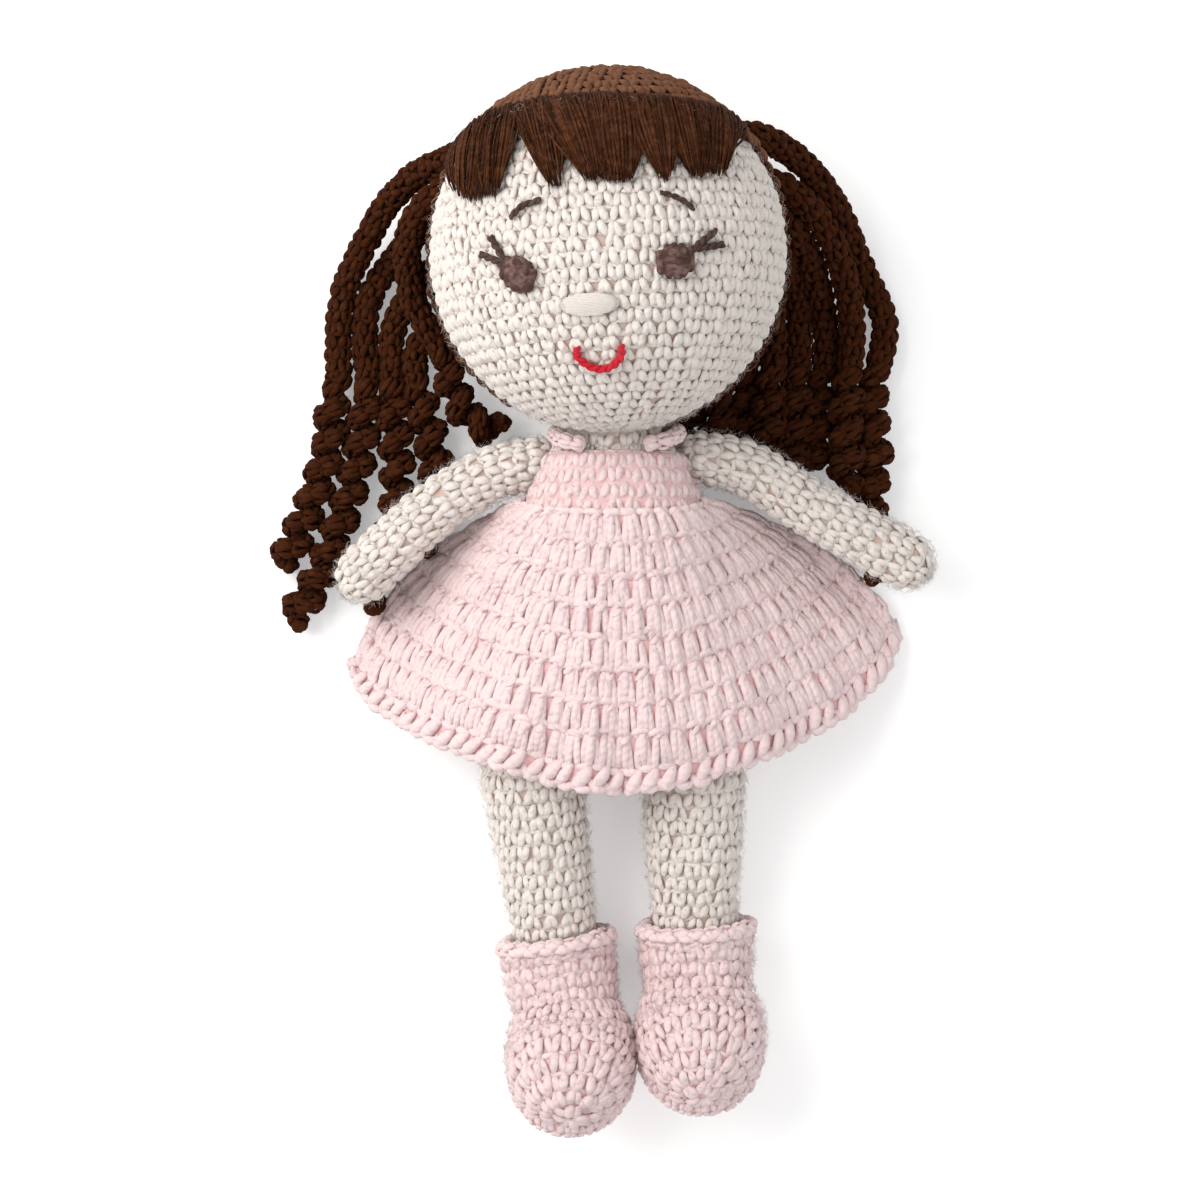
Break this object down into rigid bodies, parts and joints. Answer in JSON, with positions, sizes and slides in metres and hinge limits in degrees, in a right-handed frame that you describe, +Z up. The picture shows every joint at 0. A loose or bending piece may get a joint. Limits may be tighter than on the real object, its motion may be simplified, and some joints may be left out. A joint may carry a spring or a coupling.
{
  "type": "amigurumi doll",
  "caption": "Crocheted doll lying on its back, with a ball head, long curled yarn hair, a flared dress and slip-on boots, on soft sewn joints.",
  "frame": {"origin": "the table under the middle of the doll's outline, its hair strands left out", "axes": "+X towards the viewer's right, +Y towards the top of the head, +Z up out of the doll's chest"},
  "size_m": [0.1853, 0.2932, 0.0991],
  "materials": {
    "cream_yarn": "crocheted acrylic yarn, matte",
    "brown_yarn": "crocheted acrylic yarn, matte",
    "dark_brown_yarn": "knitted mottled yarn, matte",
    "pink_yarn": "crocheted acrylic yarn, matte",
    "red_yarn": "laid yarn, matte",
    "fibre": "loose polyester fibre"
  },
  "bodies": {
    "torso": {"torso_shell": "cream_yarn", "torso_stuffing": "fibre", "dress_yoke": "pink_yarn", "neck_strap": "pink_yarn", "skirt": "pink_yarn", "skirt_hem": "pink_yarn"},
    "neck": {"neck": "cream_yarn"},
    "head": {"head_shell": "cream_yarn", "head_stuffing": "fibre", "hair_cap": "brown_yarn", "fringe": "brown_yarn", "eye_left": "dark_brown_yarn", "eye_right": "dark_brown_yarn", "lashes_left": "brown_yarn", "lashes_right": "brown_yarn", "brow_left": "brown_yarn", "brow_right": "brown_yarn", "nose": "cream_yarn", "mouth": "red_yarn", "hair_left_1": "brown_yarn", "hair_left_2": "brown_yarn", "hair_left_3": "brown_yarn", "hair_left_4": "brown_yarn", "hair_left_5": "brown_yarn", "hair_right_1": "brown_yarn", "hair_right_2": "brown_yarn", "hair_right_3": "brown_yarn", "hair_right_4": "brown_yarn", "hair_right_5": "brown_yarn", "hair_right_6": "brown_yarn", "hair_right_7": "brown_yarn", "hair_right_8": "brown_yarn"},
    "shoulder_left": {"arm_left_root_stuffing": "fibre"},
    "arm_left": {"arm_left_shell": "cream_yarn", "arm_left_stuffing": "fibre"},
    "shoulder_right": {"arm_right_root_stuffing": "fibre"},
    "arm_right": {"arm_right_shell": "cream_yarn", "arm_right_stuffing": "fibre"},
    "legs": {"hips": "cream_yarn", "leg_left_shell": "cream_yarn", "leg_left_stuffing": "fibre", "leg_right_shell": "cream_yarn", "leg_right_stuffing": "fibre"},
    "boot_left": {"boot_left_cuff": "pink_yarn", "boot_left_sole": "pink_yarn", "boot_left_stuffing": "fibre", "boot_left_upper": "pink_yarn"},
    "boot_right": {"boot_right_cuff": "pink_yarn", "boot_right_sole": "pink_yarn", "boot_right_stuffing": "fibre", "boot_right_upper": "pink_yarn"}
  },
  "joints": [
    {"name": "neck_tilt", "type": "hinge", "parent": "torso", "child": "neck", "pos_m": [-0.0055, 0.0402, 0.031], "axis": [0, 0, 1], "range_deg": [-6, 6]},
    {"name": "head_turn", "type": "hinge", "parent": "neck", "child": "head", "pos_m": [-0.0074, 0.0962, 0.0502], "axis": [-0.0321, 0.9455, 0.3242], "range_deg": [-25, 25], "deforming": ["hair_left_1", "hair_left_2", "hair_left_3", "hair_left_4", "hair_left_5", "hair_right_1", "hair_right_2", "hair_right_3", "hair_right_4", "hair_right_5", "hair_right_6", "hair_right_7", "hair_right_8"]},
    {"name": "arm_left_raise", "type": "hinge", "parent": "torso", "child": "shoulder_left", "pos_m": [-0.0277, 0.0402, 0.027], "axis": [0, 0, -1], "range_deg": [0, 30]},
    {"name": "arm_left_lift", "type": "hinge", "parent": "shoulder_left", "child": "arm_left", "pos_m": [-0.0277, 0.0402, 0.027], "axis": [-0.5401, 0.8416, 0], "range_deg": [0, 50]},
    {"name": "arm_right_raise", "type": "hinge", "parent": "torso", "child": "shoulder_right", "pos_m": [0.0185, 0.0418, 0.027], "axis": [0, 0, 1], "range_deg": [0, 30]},
    {"name": "arm_right_lift", "type": "hinge", "parent": "shoulder_right", "child": "arm_right", "pos_m": [0.0185, 0.0418, 0.027], "axis": [-0.4441, -0.896, 0], "range_deg": [0, 50]},
    {"name": "sit", "type": "hinge", "parent": "torso", "child": "legs", "pos_m": [-0.0072, -0.0308, 0.024], "axis": [-1, 0, 0], "range_deg": [0, 85], "deforming": ["skirt", "skirt_hem"]},
    {"name": "boot_left_pull", "type": "slide", "parent": "legs", "child": "boot_left", "axis": [0.1344, -0.9903, -0.0354], "range_m": [0, 0.024]},
    {"name": "boot_right_pull", "type": "slide", "parent": "legs", "child": "boot_right", "axis": [0.037, -0.998, -0.0517], "range_m": [0, 0.024]}
  ]
}
